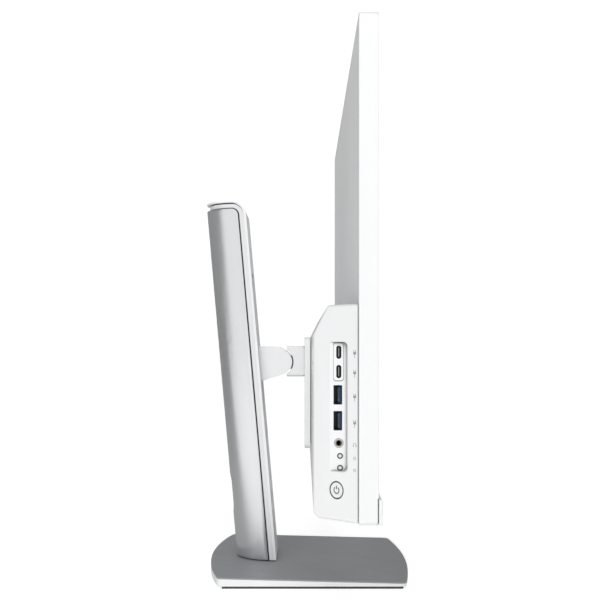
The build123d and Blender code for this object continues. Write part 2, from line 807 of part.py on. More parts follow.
def dc_inlet():
    """Round low-voltage power inlet with its centre pin, facing down."""
    start = (DC_INLET_X, LOWER_PORT_Y, HEAD_BOTTOM)
    body = rod(start, (0, 0, 1), 4.1, 15)
    body -= rod(start, (0, 0, 1), 2.9, 11)
    return body + rod((DC_INLET_X, LOWER_PORT_Y, HEAD_BOTTOM + 1), (0, 0, 1), 0.5, 11)


# ---- Quick-release plate and tilt pivot ----
def mount_plate():
    """Plate on the module's back, with a pocket for the release latch."""
    plate = panel(
        (-PLATE_HALF_WIDTH, PLATE_HALF_WIDTH),
        (MODULE_BACK, PLATE_REAR),
        (PLATE_BOTTOM, PLATE_TOP),
        4.0,
    )
    rear_edges = plate.faces().sort_by(Axis.Y)[-1].edges()
    plate = fillet(rear_edges, 1.0)
    core = panel((-48, 48), (MODULE_BACK - 1, MODULE_BACK + 1), (117.5, 208.2), 2.0)
    plate -= slab((-60, 60), (MODULE_BACK - 1, MODULE_BACK + PLATE_STEP), (100, 220)) - core
    plate -= slab((-16, 16), (PLATE_REAR - 4.1, PLATE_REAR + 1), (PLATE_BOTTOM - 1, 130))
    for hole in screw_holes(plate_screw_places(), 2.1, MODULE_BACK - 1, 10):
        plate -= hole
    for hole in screw_holes(plate_screw_places(), 3.8, PLATE_REAR - 2.4, 4):
        plate -= hole
    return plate


def release_latch():
    """Thumb slider at the plate's lower edge, pushed up to free the head."""
    slider = slab(
        (-LATCH_HALF_WIDTH, LATCH_HALF_WIDTH),
        (PLATE_REAR - 4.05, PLATE_REAR - 0.6),
        (PLATE_BOTTOM + 1.0, 125.0),
    )
    for step in range(4):
        z = PLATE_BOTTOM + 3 + 2.2 * step
        slider += slab((-10, 10), (PLATE_REAR - 0.6, PLATE_REAR), (z, z + 0.9))
    return slider


def latch_springs():
    """Two short coil springs that hold the latch down."""
    springs = []
    for x in (-9, 9):
        path = Helix(pitch=0.95, height=4.4, radius=1.2)
        profile = Plane(origin=path @ 0, z_dir=path % 0) * Circle(0.22)
        coil = sweep(profile, path)
        springs.append(Pos(x, PLATE_REAR - 2.3, 125.3) * coil)
    return springs


def pivot_block():
    """Block on the plate, hollowed to wrap the arm's round end, with the hinge knuckle."""
    axis_point = (-30, TILT_Y, TILT_Z)
    block = slab(
        (-BLOCK_HALF_WIDTH, BLOCK_HALF_WIDTH), (PLATE_REAR, BLOCK_END), (BLOCK_BOTTOM, BLOCK_TOP)
    )
    long_edges = block.edges().filter_by(Axis.Y)
    block = fillet(long_edges, 2.0)
    block -= rod(axis_point, (1, 0, 0), ARM_END_RADIUS + ARM_GAP, 60)
    neck = slab(
        (-KNUCKLE_HALF_WIDTH, KNUCKLE_HALF_WIDTH), (PLATE_REAR + 4, TILT_Y), (183.0, 195.6)
    )
    knuckle = rod(
        (-KNUCKLE_HALF_WIDTH, TILT_Y, TILT_Z), (1, 0, 0), KNUCKLE_RADIUS, 2 * KNUCKLE_HALF_WIDTH
    )
    return block + neck + knuckle - rod(axis_point, (1, 0, 0), PIN_RADIUS + 0.03, 60)


# ---- Lifting arm and carriage ----
def leaned(shape):
    """A shape drawn in the column's own frame, set to the column's lean and place."""
    return Location((0, COLUMN_Y, COLUMN_Z), (-LEAN, 0, 0)) * shape


def to_row(b, a):
    """Row Y and Z of a point at depth b and height a in the column's own frame."""
    lean = math.radians(LEAN)
    y = COLUMN_Y + a * math.sin(lean) + b * math.cos(lean)
    z = COLUMN_Z + a * math.cos(lean) - b * math.sin(lean)
    return y, z


def arm_outline(inset):
    """Side outline of the arm: a round end at the hinge, widening to the column."""
    radius = ARM_END_RADIUS - inset
    end_y = 49.0
    bar = across(
        [
            (TILT_Y - 0.31 * radius, TILT_Z - 0.95 * radius),
            (43.0, ARM_BOTTOM + inset),
            (end_y, ARM_BOTTOM + inset),
            (end_y, ARM_TOP - inset),
            (23.6, ARM_TOP - 1.0 - inset),
            (TILT_Y - 0.42 * radius, TILT_Z + 0.9 * radius),
        ],
        ARM_HALF_WIDTH - inset,
    )
    half = ARM_HALF_WIDTH - inset
    return bar + rod((-half, TILT_Y, TILT_Z), (1, 0, 0), radius, 2 * half)


def arm_cover():
    """Shell over the arm, open in front for the knuckle and behind for the fork."""
    cover = arm_outline(0) - arm_outline(ARM_WALL)
    front = slab((-7.5, 7.5), (TILT_Y - 20, TILT_Y), (160, 215))
    rear = slab((-14.2, 14.2), (45, 55), (ARM_BOTTOM + ARM_WALL, ARM_TOP - ARM_WALL))
    return cover - front - rear


def arm_fork():
    """Steel fork: two cheeks that hold the tilt pin, and the web to the carriage."""
    bar = slab((-11, 11), (TILT_Y, 60), (TILT_Z - 9.5, TILT_Z + 9.5))
    bar += rod((-11, TILT_Y, TILT_Z), (1, 0, 0), 9.5, 22)
    bar -= slab((-8, 8), (TILT_Y - 15, 37), (TILT_Z - 12, TILT_Z + 12))
    bar -= rod((-20, TILT_Y, TILT_Z), (1, 0, 0), PIN_RADIUS, 40)
    return bar - leaned(slab((-40, 40), (CARRIAGE_FRONT, 60), (100, 300)))


def tilt_pin():
    """Hinge pin through the fork and the knuckle, headed at both ends."""
    pin = rod((-13, TILT_Y, TILT_Z), (1, 0, 0), PIN_RADIUS, 26)
    for side in (-1, 1):
        pin += rod((side * 11.05, TILT_Y, TILT_Z), (side, 0, 0), 6.5, 2.0)
    return pin


def friction_washers():
    """Washers between the knuckle and the fork that hold the tilt."""
    washer = tube((7.05, TILT_Y, TILT_Z), (1, 0, 0), 8.0, PIN_RADIUS + 0.03, 0.9)
    return pair(washer)


def carriage():
    """Slider inside the column, with two lugs that the lift struts push on."""
    block = slab(
        (-CARRIAGE_HALF_WIDTH, CARRIAGE_HALF_WIDTH), (CARRIAGE_FRONT, CARRIAGE_REAR), (149, 213)
    )
    block -= slab((-12, 12), (CARRIAGE_FRONT + 3, CARRIAGE_REAR + 1), (155, 200))
    for lug in pair(slab((11.6, 15.4), (CARRIAGE_REAR, STRUT_B + 3), (205, 211))):
        block += lug
    return leaned(block)


def carriage_pads():
    """Four plastic pads that run on the column's side rails."""
    pads = []
    for low in (150, 196):
        pad = slab((CARRIAGE_HALF_WIDTH, RAIL_INNER - 0.05), (-9.5, 0.5), (low, low + 15))
        pads += [leaned(piece) for piece in pair(pad)]
    return pads


def strut_rods():
    """Rods of the two lift struts, each with its piston."""
    shape = rod((STRUT_X, STRUT_B, 66), (0, 0, 1), ROD_RADIUS, 139)
    shape += rod((STRUT_X, STRUT_B, 66), (0, 0, 1), STRUT_RADIUS - 0.85, 5)
    return [leaned(piece) for piece in pair(shape)]


# ---- Column ----
def column_plan(front, depth, half_width, shell_front=SHELL_FRONT):
    """D-shaped prism in the column's own frame: flat front, half-ellipse behind."""
    height = 360
    round_back = extrude(Ellipse(half_width, depth), height)
    round_back &= slab((-40, 40), (0, 40), (0, height))
    prism = Pos(0, shell_front, 0) * round_back
    if front < shell_front:
        prism += slab((-half_width, half_width), (front, shell_front), (0, height))
    return leaned(Pos(0, 0, -10) * prism)


def column_side(front, top, radius):
    """Everything behind a leaned front face and below a level top, corner rounded."""
    low_y, low_z = to_row(front, -20)
    high_y = COLUMN_Y + front / math.cos(math.radians(LEAN))
    high_y += (top - COLUMN_Z) * math.tan(math.radians(LEAN))
    outline = Polygon((low_y, low_z), (high_y, top), (150, top), (150, low_z), align=None)
    corner = outline.vertices().sort_by_distance((high_y, top, 0))[0]
    outline = fillet(corner, radius)
    return extrude(Plane.YZ.offset(-60) * outline, 120, dir=(1, 0, 0))


def base_surface(y):
    """Height of the base's sloped top at a given Y."""
    return BASE_MIDDLE_TOP + BASE_SLOPE * (y - BASE_MIDDLE_Y)


def below_surface(lift):
    """Everything under a plane parallel to the base's top, raised by lift."""
    near, far = -130, 130
    return across(
        [
            (near, -20),
            (far, -20),
            (far, base_surface(far) + lift),
            (near, base_surface(near) + lift),
        ],
        130,
    )


def arm_slot():
    """Slot that the arm rides in, in the column's front."""
    low = to_row(BAND_FRONT, 0)
    first = ARM_BOTTOM - low[1] - LIFT_DOWN - 3
    last = ARM_TOP - low[1] + LIFT_UP + 3
    slot = panel((-17.5, 17.5), (COVER_FRONT - 2, SHELL_FRONT), (first, last), 4.0)
    return leaned(slot)


def cable_passage():
    """Oval way for the cables through the lower column, front to back."""
    height = CABLE_TOP - CABLE_BOTTOM
    outline = Rot(0, 0, 90) * SlotOverall(height, 2 * CABLE_HALF_WIDTH)
    middle = (CABLE_TOP + CABLE_BOTTOM) / 2
    return extrude(Plane.XZ.offset(-100) * Pos(0, middle) * outline, 100)


def column_front_cover():
    """White ribbon down the column's front that folds over its top."""
    sheet = column_side(COVER_FRONT, COVER_TOP, 13.0)
    sheet -= column_side(BAND_FRONT, COVER_UNDERSIDE, 11.4)
    cover = column_plan(COVER_FRONT, LIP_DEPTH, COLUMN_HALF_WIDTH) & sheet
    cover = cover - arm_slot() - cable_passage() - below_surface(SWIVEL_GAP)
    for hole in column_screw_shapes(1.3):
        cover -= hole
    return cover


def column_band():
    """Light-grey carrier behind the ribbon, set in a little at the top."""
    sheet = column_side(BAND_FRONT, BAND_TOP, 10.5)
    sheet -= column_side(SEAM_FRONT, BAND_UNDERSIDE, 7.0)
    band = column_plan(BAND_FRONT, SHELL_DEPTH - 3, COLUMN_HALF_WIDTH) & sheet
    band = band - arm_slot() - cable_passage() - below_surface(SWIVEL_GAP)
    for hole in column_screw_shapes(1.3):
        band -= hole
    return band


def column_gaskets():
    """Dark fillers in the joints between the ribbon, the carrier and the shell."""
    inset = COLUMN_HALF_WIDTH - 0.8
    seam = column_plan(SEAM_FRONT, 26.0, inset)
    seam &= column_side(SEAM_FRONT, BAND_UNDERSIDE, 7.0)
    seam -= column_side(SHELL_FRONT, SHELL_TOP, 6.0)
    seam -= leaned(slab((-RAIL_OUTER, RAIL_OUTER), (-30, SHELL_FRONT + 0.01), (-20, 318)))
    upper = column_plan(SEAM_FRONT, 25.0, inset)
    upper &= slab((-40, 40), (0, 120), (BAND_TOP, COVER_UNDERSIDE))
    upper &= column_side(BAND_FRONT, COVER_UNDERSIDE, 11.4)
    return [seam - below_surface(SWIVEL_GAP), upper]


def column_shell():
    """Grey D-shaped rear shell of the column."""
    outside = column_plan(SHELL_FRONT, SHELL_DEPTH, COLUMN_HALF_WIDTH)
    outside &= column_side(SHELL_FRONT, SHELL_TOP, 6.0)
    inside = column_plan(
        SHELL_FRONT - 1, SHELL_DEPTH - SHELL_WALL, COLUMN_HALF_WIDTH - SHELL_WALL
    )
    inside &= column_side(SHELL_FRONT - 1, SHELL_TOP - SHELL_WALL, 5.0)
    return outside - inside - cable_passage() - below_surface(SWIVEL_GAP)


def column_frame():
    """Steel channel inside the column: two side rails and the slotted web."""
    length = (0, 316)
    channel = slab((-RAIL_OUTER, RAIL_OUTER), (SEAM_FRONT, 3.2), length)
    channel -= slab((-RAIL_INNER, RAIL_INNER), (SEAM_FRONT - 1, 2.0), (-1, 317))
    for slot in pair(slab((11.0, 16.0), (1.5, 4.0), (150, 283))):
        channel -= slot
    channel = leaned(channel) - cable_passage()
    return channel - slab((-40, 40), (0, 120), (-20, FOOT_TOP + 0.1))


def column_foot():
    """Cast foot that closes the column's bottom and turns on the base."""
    foot = column_plan(SHELL_FRONT, SHELL_DEPTH - SHELL_WALL - 0.2, COLUMN_HALF_WIDTH - 2.0)
    foot &= slab((-40, 40), (0, 120), (0, FOOT_TOP))
    foot -= below_surface(SWIVEL_GAP)
    foot -= rod((0, COLUMN_Y, 0), (0, 0, 1), SPINDLE_RADIUS, 20)
    foot -= rod((0, COLUMN_Y, FOOT_TOP - 2), (0, 0, 1), FLANGE_RADIUS, 20)
    return foot - rod((0, COLUMN_Y, 0), (0, 0, 1), DISC_RADIUS + 0.5, 10.25)


def strut_cylinders():
    """Cylinders of the two lift struts, standing on the foot."""
    body = rod((STRUT_X, STRUT_B, 12), (0, 0, 1), STRUT_RADIUS, STRUT_TOP - 12)
    body -= rod((STRUT_X, STRUT_B, 14), (0, 0, 1), STRUT_RADIUS - 0.8, STRUT_TOP - 17)
    body -= rod((STRUT_X, STRUT_B, 100), (0, 0, 1), ROD_RADIUS + 0.05, 60)
    return [leaned(piece) for piece in pair(body)]


def column_screw_shapes(radius):
    """Two small screws in the column's front face, above and below the cable way."""
    shapes = []
    for a in (44, 104):
        shapes.append(leaned(rod((24, COVER_FRONT, a), (0, 1, 0), radius, 5.8)))
    return shapes + [mirror(shape, about=Plane.YZ) for shape in shapes]


def swivel_spindle():
    """Flanged spindle under the column that turns in the base, and the nut that keeps it."""
    spindle = rod((0, COLUMN_Y, 3.1), (0, 0, 1), SPINDLE_RADIUS, FOOT_TOP - 3.1)
    spindle += rod((0, COLUMN_Y, FOOT_TOP - 2), (0, 0, 1), FLANGE_RADIUS, 2.0)
    nut = Pos(0, COLUMN_Y, 3.1) * extrude(RegularPolygon(10.0, 6), 1.2)
    return [spindle, nut - rod((0, COLUMN_Y, 2), (0, 0, 1), SPINDLE_RADIUS, 4)]


# ---- Base ----
def base_outline(inset):
    """Plan of the base: bowed front and rear edges, straight sides."""
    x = BASE_HALF_WIDTH
    edges = [
        ThreePointArc((-x, BASE_FRONT_CORNER), (0, BASE_FRONT), (x, BASE_FRONT_CORNER)),
        Line((x, BASE_FRONT_CORNER), (x, BASE_REAR_CORNER)),
        ThreePointArc((x, BASE_REAR_CORNER), (0, BASE_REAR), (-x, BASE_REAR_CORNER)),
        Line((-x, BASE_REAR_CORNER), (-x, BASE_FRONT_CORNER)),
    ]
    outline = make_face(edges)
    outline = fillet(outline.vertices(), BASE_CORNER_RADIUS)
    return offset(outline, -inset, kind=Kind.INTERSECTION) if inset else outline


def base_prism(inset, low):
    """The base's plan carried up from a given height."""
    return extrude(Plane.XY.offset(low) * base_outline(inset), 20)


def base_top_cover():
    """Thin grey sheet that forms the base's sloped top."""
    cover = base_prism(0, 0) & (below_surface(0) - below_surface(-COVER_SHEET))
    return cover - rod((0, COLUMN_Y, 0), (0, 0, 1), DISC_RADIUS + 0.1, 20)


def base_tray():
    """White tray with the base's visible side, closed below."""
    tray = base_prism(0, FOOT_HEIGHT) & below_surface(-COVER_SHEET)
    tray -= base_prism(2.2, FOOT_HEIGHT + 1.2)
    tray -= rod((0, COLUMN_Y, FOOT_HEIGHT + 0.6), (0, 0, 1), 11.0, 10)
    for hole in base_screw_shapes(1.7, 2.9):
        tray -= hole
    return tray


def base_weight():
    """Steel ballast plate inside the tray, which carries the swivel."""
    weight = base_prism(2.6, FOOT_HEIGHT + 1.2) & below_surface(-COVER_SHEET - 0.05)
    weight &= slab((-120, 120), (-66, 120), (0, 20))
    weight -= rod((0, COLUMN_Y, 0), (0, 0, 1), SPINDLE_RADIUS + 0.05, 20)
    weight -= rod((0, COLUMN_Y, 7.0), (0, 0, 1), DISC_RADIUS + 0.2, 10)
    weight -= rod((0, COLUMN_Y, 0), (0, 0, 1), 10.6, 4.4)
    for hole in base_screw_shapes(1.55, 1.55):
        weight -= hole
    return weight


def swivel_disc():
    """Low-friction disc between the ballast plate and the column's foot."""
    return tube((0, COLUMN_Y, 7.0), (0, 0, 1), DISC_RADIUS, SPINDLE_RADIUS + 0.1, 3.2)


def base_screw_shapes(shank, head):
    """Screws that come up through the tray into the ballast plate."""
    shapes = []
    for x, y in BASE_SCREW_PLACES:
        screw = rod((x, y, FOOT_HEIGHT), (0, 0, 1), shank, 2.9)
        screw += rod((x, y, FOOT_HEIGHT), (0, 0, 1), head, 0.7)
        shapes += pair(screw)
    return shapes


def base_feet():
    """Rubber strips along the sides and ends of the base."""
    side = slab((87, BASE_HALF_WIDTH), (-82, 71), (0, FOOT_HEIGHT)) & base_prism(0.6, 0)
    ends = [slab((-70, 70), (y, y + 8), (0, FOOT_HEIGHT)) for y in (-84, 64)]
    return pair(side) + ends


# ---- Everything that is written, node by node ----
def main():
    os.makedirs("parts", exist_ok=True)
    makers = [
        screen_frame,
        front_bezel,
        lcd_panel,
        speaker_bar,
        speaker_drivers,
        webcam_module,
        camera_shutter,
        chassis_frame,
        rear_cover,
        display_cable,
        module_housing,
        module_end_cap,
        module_port_strip,
        head_screws,
        usb_shells,
        usb_c_tongues,
        usb_a_tongues,
        audio_jack,
        indicator_lenses,
        side_port_board,
        power_button,
        power_button_ring,
        mainboard,
        board_components,
        plug_in_cards,
        cooler_base,
        fin_stack,
        blower_housing,
        blower_impeller,
        storage_drive,
        mount_bracket,
        ethernet_jack,
        lower_shells,
        dc_inlet,
        mount_plate,
        release_latch,
        latch_springs,
        pivot_block,
        arm_cover,
        arm_fork,
        tilt_pin,
        friction_washers,
        carriage,
        carriage_pads,
        strut_rods,
        column_front_cover,
        column_band,
        column_gaskets,
        column_shell,
        column_frame,
        column_foot,
        strut_cylinders,
        swivel_spindle,
        base_top_cover,
        base_tray,
        base_weight,
        swivel_disc,
        base_feet,
    ]
    for maker in makers:
        made = maker()
        shapes = made if isinstance(made, list) else [made]
        write(maker.__name__, *shapes)
    write("column_screws", *column_screw_shapes(1.25))
    write("base_screws", *base_screw_shapes(1.5, 2.7))


main()
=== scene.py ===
"""All-in-one computer: materials, small fittings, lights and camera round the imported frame."""

import json
import math

import bmesh
import bpy
from mathutils import Matrix, Vector


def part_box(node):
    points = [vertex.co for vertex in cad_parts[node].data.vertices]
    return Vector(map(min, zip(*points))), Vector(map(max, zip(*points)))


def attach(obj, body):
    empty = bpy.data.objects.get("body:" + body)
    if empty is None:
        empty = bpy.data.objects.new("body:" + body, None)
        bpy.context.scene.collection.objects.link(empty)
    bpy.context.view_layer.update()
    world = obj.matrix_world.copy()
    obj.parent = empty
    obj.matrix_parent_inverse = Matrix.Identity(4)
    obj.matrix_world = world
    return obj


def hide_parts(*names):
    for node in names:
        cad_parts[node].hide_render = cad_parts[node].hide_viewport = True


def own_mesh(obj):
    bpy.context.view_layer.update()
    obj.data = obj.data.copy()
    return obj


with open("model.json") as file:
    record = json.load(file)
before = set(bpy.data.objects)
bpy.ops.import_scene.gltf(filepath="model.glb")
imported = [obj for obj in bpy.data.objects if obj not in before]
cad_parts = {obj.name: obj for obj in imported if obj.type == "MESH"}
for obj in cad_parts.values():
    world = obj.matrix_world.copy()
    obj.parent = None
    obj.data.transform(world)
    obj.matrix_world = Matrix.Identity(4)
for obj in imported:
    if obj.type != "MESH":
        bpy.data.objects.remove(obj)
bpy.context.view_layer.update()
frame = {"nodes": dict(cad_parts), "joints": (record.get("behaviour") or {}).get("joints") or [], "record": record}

MM = 0.001
X, Y, Z = Vector((1, 0, 0)), Vector((0, 1, 0)), Vector((0, 0, 1))


# ---- Node graphs for the materials ----
def new_material(name):
    """An empty node material with its shader and output."""
    material = bpy.data.materials.new(name)
    material.use_nodes = True
    graph = material.node_tree
    return material, graph, graph.nodes["Principled BSDF"]


def link(graph, source, target):
    graph.links.new(source, target)


def position(graph, stretch=(1.0, 1.0, 1.0)):
    """The surface point in the object's own metres, stretched along its axes."""
    place = graph.nodes.new("ShaderNodeTexCoord")
    mapping = graph.nodes.new("ShaderNodeMapping")
    mapping.inputs["Scale"].default_value = stretch
    link(graph, place.outputs["Object"], mapping.inputs["Vector"])
    return mapping.outputs["Vector"]


def noise(graph, point, scale, detail=2.0):
    """Noise of a given number of cells per metre."""
    node = graph.nodes.new("ShaderNodeTexNoise")
    node.inputs["Scale"].default_value = scale
    node.inputs["Detail"].default_value = detail
    link(graph, point, node.inputs["Vector"])
    return node.outputs["Fac"]


def remap(graph, value, low, high, source=(0.3, 0.7)):
    """A value brought to a new range."""
    node = graph.nodes.new("ShaderNodeMapRange")
    node.inputs["From Min"].default_value = source[0]
    node.inputs["From Max"].default_value = source[1]
    node.inputs["To Min"].default_value = low
    node.inputs["To Max"].default_value = high
    link(graph, value, node.inputs["Value"])
    return node.outputs["Result"]


def two_tone(graph, factor, first, second):
    """A colour that runs between two tones with a factor."""
    node = graph.nodes.new("ShaderNodeMix")
    node.data_type = "RGBA"
    node.inputs[6].default_value = (*first, 1.0)
    node.inputs[7].default_value = (*second, 1.0)
    link(graph, factor, node.inputs[0])
    return node.outputs[2]


def bump(graph, shader, height, depth, strength=1.0):
    """Relief of a given depth in metres."""
    node = graph.nodes.new("ShaderNodeBump")
    node.inputs["Strength"].default_value = strength
    node.inputs["Distance"].default_value = depth
    link(graph, height, node.inputs["Height"])
    link(graph, node.outputs["Normal"], shader.inputs["Normal"])


def shaded(colour, share):
    """A colour made darker or lighter by a share."""
    return tuple(min(1.0, channel * share) for channel in colour)


def moulded(name, colour, rough, grain=900.0, depth=0.00002, spread=0.05, coat=0.0, metal=0.0,
             swing=0.05):
    """Moulded or painted surface: slight mottling, uneven gloss and a fine grain."""
    material, graph, shader = new_material(name)
    point = position(graph)
    broad = noise(graph, point, 14.0, 3.0)
    fine = noise(graph, point, grain, 3.0)
    tone = remap(graph, broad, 0.0, 1.0)
    low, high = shaded(colour, 1.0 - spread / 2), shaded(colour, 1.0 + spread / 2)
    link(graph, two_tone(graph, tone, low, high), shader.inputs["Base Color"])
    gloss = remap(graph, noise(graph, point, 60.0, 4.0), rough - swing, rough + swing)
    link(graph, gloss, shader.inputs["Roughness"])
    bump(graph, shader, fine, depth, 0.6)
    shader.inputs["Metallic"].default_value = metal
    shader.inputs["Coat Weight"].default_value = coat
    shader.inputs["Coat Roughness"].default_value = 0.25
    return material


# Share of the painted shade on faces that point down.
UNDERSIDE_SHADE = 0.3


def paint_crease_shade(material, reach, depth, colour=(0.10, 0.10, 0.105), span=(0.25, 0.62)):
    """Painted shade: darkens a material's colour in its seams and inner corners, and where it faces down.

    The reach is in metres, the depth is how far a full corner turns to the colour, and the span
    is the range of openness over which it fades.
    """
    graph = material.node_tree
    shader = graph.nodes["Principled BSDF"]
    unshaded = shader.inputs["Base Color"].links[0].from_socket
    # Ambient occlusion paints shade into seams and inner corners; the normal's Z paints shade on undersides.
    corner = graph.nodes.new("ShaderNodeAmbientOcclusion")
    corner.samples = 8
    corner.inputs["Distance"].default_value = reach
    nook = remap(graph, corner.outputs["AO"], 1.0 - depth, 1.0, span)
    facing = graph.nodes.new("ShaderNodeNewGeometry")
    split = graph.nodes.new("ShaderNodeSeparateXYZ")
    link(graph, facing.outputs["Normal"], split.inputs["Vector"])
    underside = remap(graph, split.outputs["Z"], 1.0 - UNDERSIDE_SHADE, 1.0, (-0.9, -0.1))
    both = graph.nodes.new("ShaderNodeMath")
    both.operation = "MULTIPLY"
    link(graph, nook, both.inputs[0])
    link(graph, underside, both.inputs[1])
    open_share = both.outputs["Value"]
    node = graph.nodes.new("ShaderNodeMix")
    node.data_type = "RGBA"
    node.inputs[6].default_value = (*colour, 1.0)
    link(graph, unshaded, node.inputs[7])
    link(graph, open_share, node.inputs[0])
    link(graph, node.outputs[2], shader.inputs["Base Color"])


def brushed(name, colour, rough, stretch, metal=1.0, spread=0.25):
    """Metal with fine lines along one axis."""
    material, graph, shader = new_material(name)
    lines = noise(graph, position(graph, stretch), 400.0, 5.0)
    tone = remap(graph, lines, 0.0, 1.0)
    low, high = shaded(colour, 1.0 - spread / 2), shaded(colour, 1.0 + spread / 2)
    link(graph, two_tone(graph, tone, low, high), shader.inputs["Base Color"])
    link(graph, remap(graph, lines, rough - 0.08, rough + 0.08), shader.inputs["Roughness"])
    bump(graph, shader, lines, 0.00001, 0.5)
    shader.inputs["Metallic"].default_value = metal
    return material


def circuit_board(name):
    """Green solder mask over a grid of slightly raised tracks."""
    material, graph, shader = new_material(name)
    tracks = graph.nodes.new("ShaderNodeTexBrick")
    tracks.inputs["Scale"].default_value = 130.0
    tracks.inputs["Mortar Size"].default_value = 0.06
    tracks.inputs["Color1"].default_value = (0.010, 0.11, 0.045, 1)
    tracks.inputs["Color2"].default_value = (0.014, 0.15, 0.060, 1)
    tracks.inputs["Mortar"].default_value = (0.03, 0.24, 0.10, 1)
    place = graph.nodes.new("ShaderNodeTexCoord")
    split = graph.nodes.new("ShaderNodeSeparateXYZ")
    flat = graph.nodes.new("ShaderNodeCombineXYZ")
    link(graph, place.outputs["Object"], split.inputs["Vector"])
    link(graph, split.outputs["X"], flat.inputs["X"])
    link(graph, split.outputs["Z"], flat.inputs["Y"])
    link(graph, flat.outputs["Vector"], tracks.inputs["Vector"])
    link(graph, tracks.outputs["Color"], shader.inputs["Base Color"])
    bump(graph, shader, tracks.outputs["Fac"], 0.00004, 0.6)
    shader.inputs["Roughness"].default_value = 0.35
    shader.inputs["Coat Weight"].default_value = 0.4
    return material


def striped(name, first, second, pitch):
    """Fine stripes across X, as on a flat cable."""
    material, graph, shader = new_material(name)
    wave = graph.nodes.new("ShaderNodeTexWave")
    wave.inputs["Scale"].default_value = 1.0 / (pitch * 20.0)
    link(graph, position(graph, (60.0, 60.0, 60.0)), wave.inputs["Vector"])
    link(graph, two_tone(graph, wave.outputs["Fac"], first, second), shader.inputs["Base Color"])
    bump(graph, shader, wave.outputs["Fac"], 0.0001, 0.5)
    shader.inputs["Roughness"].default_value = 0.5
    return material


def anti_glare(name):
    """Screen surface, off: near-black with a fine matt sparkle under a soft sheen."""
    material, graph, shader = new_material(name)
    point = position(graph)
    sparkle = noise(graph, point, 5200.0, 2.0)
    tone = remap(graph, noise(graph, point, 6.0, 2.0), 0.0, 1.0)
    link(graph, two_tone(graph, tone, (0.006, 0.007, 0.009), (0.010, 0.011, 0.013)),
         shader.inputs["Base Color"])
    link(graph, remap(graph, sparkle, 0.26, 0.36), shader.inputs["Roughness"])
    bump(graph, shader, sparkle, 0.00001, 0.25)
    shader.inputs["IOR"].default_value = 1.5
    return material


def lit_lens(name, colour, clear=0.35):
    """Translucent light pipe."""
    material, graph, shader = new_material(name)
    tone = remap(graph, noise(graph, position(graph), 800.0, 2.0), 0.0, 1.0)
    link(graph, two_tone(graph, tone, shaded(colour, 0.9), colour), shader.inputs["Base Color"])
    shader.inputs["Roughness"].default_value = 0.2
    shader.inputs["Transmission Weight"].default_value = clear
    return material


def white_moulding(name):
    """Satin white shell."""
    return moulded(name, (0.90, 0.905, 0.91), 0.34, 1500.0, 0.000012, 0.012, 0.25)


SILVER = (0.84, 0.845, 0.855)
BAND = (0.80, 0.805, 0.815)
COLUMN = (0.76, 0.77, 0.78)
MATERIALS = {
    "white_shell": white_moulding("white_shell"),
    # Copies of the white shell with stronger painted shade in the port recess and the hinge slit.
    "recess_shell_painted_shade": white_moulding("recess_shell_painted_shade"),
    "hinge_shell_painted_shade": white_moulding("hinge_shell_painted_shade"),
    "silver_cover": moulded("silver_cover", SILVER, 0.42, 2200.0, 0.00002, 0.02, 0.0, 0.15),
    "column_band": moulded("column_band", BAND, 0.40, 2200.0, 0.00002, 0.03),
    "column_grey": moulded("column_grey", COLUMN, 0.24, 2600.0, 0.000006, 0.012, 0.0, 0.88, 0.02),
    "base_grey": moulded("base_grey", (0.305, 0.320, 0.332), 0.46, 2400.0, 0.00004, 0.05),
    "bezel_black": moulded("bezel_black", (0.014, 0.014, 0.016), 0.28, 1800.0, 0.00001, 0.2, 0.2),
    "display": anti_glare("display"),
    "black_plastic": moulded("black_plastic", (0.022, 0.022, 0.024), 0.5, 1600.0, 0.00004, 0.25),
    "button_white": moulded("button_white", (0.88, 0.885, 0.89), 0.3, 1500.0, 0.00001, 0.02, 0.3),
    "lens_grey": lit_lens("lens_grey", (0.93, 0.93, 0.93), 0.08),
    "usb_blue": moulded("usb_blue", (0.006, 0.036, 0.10), 0.38, 1500.0, 0.00002, 0.12),
    "connector_black": moulded("connector_black", (0.012, 0.012, 0.013), 0.42, 1500.0, 0.00002, 0.2),
    "board_green": circuit_board("board_green"),
    "flat_cable": striped("flat_cable", (0.66, 0.66, 0.62), (0.80, 0.80, 0.77), 0.001),
    "steel": brushed("steel", (0.62, 0.62, 0.63), 0.32, (1.0, 1.0, 0.04)),
    "cast_metal": moulded("cast_metal", (0.52, 0.53, 0.55), 0.5, 500.0, 0.0001, 0.1, 0.0, 1.0),
    "ballast": moulded("ballast", (0.10, 0.10, 0.105), 0.5, 700.0, 0.00005, 0.3, 0.0, 0.9),
    "drive_case": brushed("drive_case", (0.46, 0.47, 0.49), 0.45, (0.05, 1.0, 1.0)),
    "copper": brushed("copper", (0.78, 0.36, 0.22), 0.3, (0.05, 1.0, 1.0)),
    "fins": brushed("fins", (0.75, 0.76, 0.78), 0.28, (1.0, 0.05, 1.0)),
    "bearing_plastic": moulded("bearing_plastic", (0.72, 0.70, 0.62), 0.5, 900.0, 0.00003, 0.06),
    "foot_rubber": moulded("foot_rubber", (0.07, 0.07, 0.07), 0.8, 500.0, 0.00008, 0.15),
    "gold": brushed("gold", (0.95, 0.68, 0.30), 0.25, (1.0, 0.1, 1.0), spread=0.1),
    "socket_steel": brushed("socket_steel", (0.035, 0.036, 0.040), 0.35, (1.0, 1.0, 0.04)),
    "print_grey": moulded("print_grey", (0.07, 0.072, 0.075), 0.6, 2500.0, 0.00001, 0.1),
    "line_grey": moulded("line_grey", (0.30, 0.305, 0.31), 0.5, 2500.0, 0.00001, 0.08),
    # Near-black discs standing for holes: painted shade, not cut openings.
    "painted_hole_shade": moulded("painted_hole_shade", (0.006, 0.006, 0.006), 0.8, 1500.0, 0.00002, 0.3),
    "lens_glass": moulded("lens_glass", (0.010, 0.012, 0.022), 0.08, 3000.0, 0.000002, 0.3, 1.0),
    "amber_lens": lit_lens("amber_lens", (0.90, 0.55, 0.12)),
    "green_lens": lit_lens("green_lens", (0.20, 0.75, 0.25)),
}
